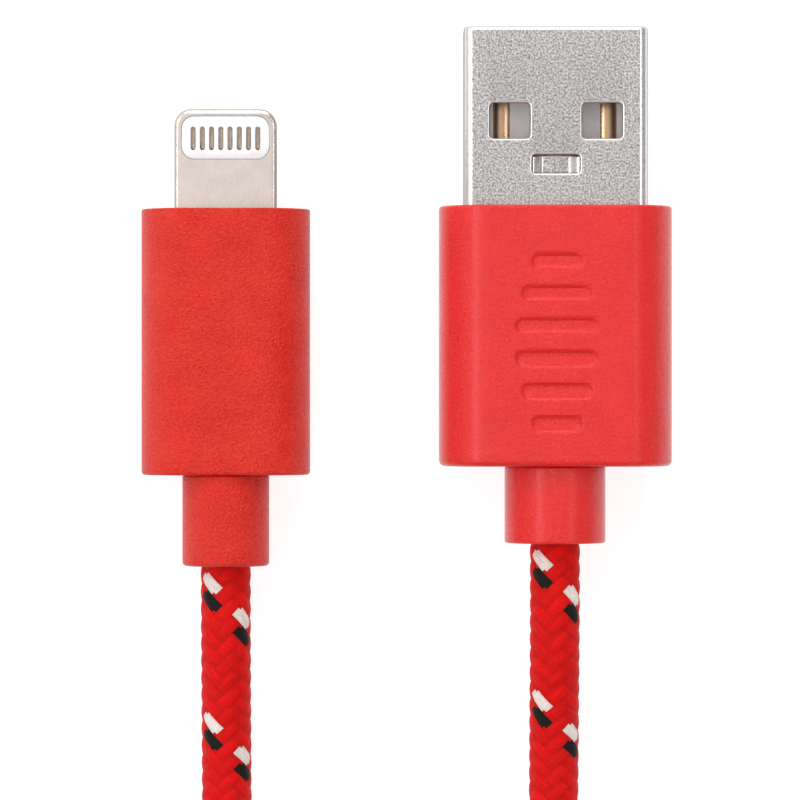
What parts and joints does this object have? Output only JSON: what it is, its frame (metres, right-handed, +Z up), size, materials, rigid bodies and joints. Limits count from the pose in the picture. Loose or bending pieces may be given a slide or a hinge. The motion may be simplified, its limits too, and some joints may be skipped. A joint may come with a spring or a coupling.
{
  "type": "charging_cable",
  "caption": "Braided charging cable with a type A plug and a slim reversible blade plug, lying flat, its spare length in a tied coil",
  "frame": {"origin": "on the surface that the cable lies on, under the middle of the two plugs' common box", "axes": "+Z up, +Y the way both plugs point, +X from the eight-contact plug towards the type A plug"},
  "size_m": [0.0501, 0.1236, 0.0087],
  "materials": {
    "plated_shell": "sand-blasted nickel plate on folded steel",
    "grey_plastic": "moulded",
    "brass_contact": "gold-flashed brass strip",
    "natural_plastic": "moulded, unpainted",
    "red_vinyl": "soft moulded vinyl with a fine leathery grain",
    "black_jacket": "moulded",
    "wire_red": "extruded insulation",
    "wire_white": "extruded insulation",
    "wire_green": "extruded insulation",
    "wire_black": "extruded insulation",
    "blade_metal": "satin nickel plate",
    "white_insert": "moulded, flush with the blade",
    "gold_pad": "gold-flashed contact",
    "circuit_board": "green solder mask",
    "ceramic_part": "chip capacitor",
    "red_braid": "braided polyester, with one white and one black yarn",
    "black_webbing": "woven hook-and-loop strap"
  },
  "bodies": {
    "root": {"type_a_shell": "plated_shell", "type_a_tongue": "grey_plastic", "type_a_contact_1": "brass_contact", "type_a_contact_2": "brass_contact", "type_a_contact_3": "brass_contact", "type_a_contact_4": "brass_contact", "type_a_rear_shield": "plated_shell", "type_a_inner_mould": "natural_plastic", "type_a_housing": "red_vinyl", "type_a_strain_relief": "red_vinyl", "type_a_crimp_ferrule": "plated_shell", "type_a_cable_end": "black_jacket", "type_a_wire_power": "wire_red", "type_a_wire_data_minus": "wire_white", "type_a_wire_data_plus": "wire_green", "type_a_wire_ground": "wire_black", "eight_pin_blade_frame": "blade_metal", "eight_pin_insert": "white_insert", "eight_pin_upper_contact_1": "gold_pad", "eight_pin_lower_contact_1": "gold_pad", "eight_pin_upper_contact_2": "gold_pad", "eight_pin_lower_contact_2": "gold_pad", "eight_pin_upper_contact_3": "gold_pad", "eight_pin_lower_contact_3": "gold_pad", "eight_pin_upper_contact_4": "gold_pad", "eight_pin_lower_contact_4": "gold_pad", "eight_pin_upper_contact_5": "gold_pad", "eight_pin_lower_contact_5": "gold_pad", "eight_pin_upper_contact_6": "gold_pad", "eight_pin_lower_contact_6": "gold_pad", "eight_pin_upper_contact_7": "gold_pad", "eight_pin_lower_contact_7": "gold_pad", "eight_pin_upper_contact_8": "gold_pad", "eight_pin_lower_contact_8": "gold_pad", "eight_pin_circuit_board": "circuit_board", "eight_pin_controller_chip": "black_jacket", "eight_pin_capacitor_1": "ceramic_part", "eight_pin_capacitor_2": "ceramic_part", "eight_pin_resistor": "black_jacket", "eight_pin_shield_can": "plated_shell", "eight_pin_inner_mould": "natural_plastic", "eight_pin_housing": "red_vinyl", "eight_pin_strain_relief": "red_vinyl", "eight_pin_crimp_ferrule": "plated_shell", "eight_pin_cable_end": "black_jacket", "eight_pin_wire_power": "wire_red", "eight_pin_wire_data_minus": "wire_white", "eight_pin_wire_data_plus": "wire_green", "eight_pin_wire_ground": "wire_black", "cord_lead_eight_pin": "red_braid", "cord_lead_type_a": "red_braid", "cord_coil": "red_braid", "cord_tie": "black_webbing"}
  },
  "joints": []
}
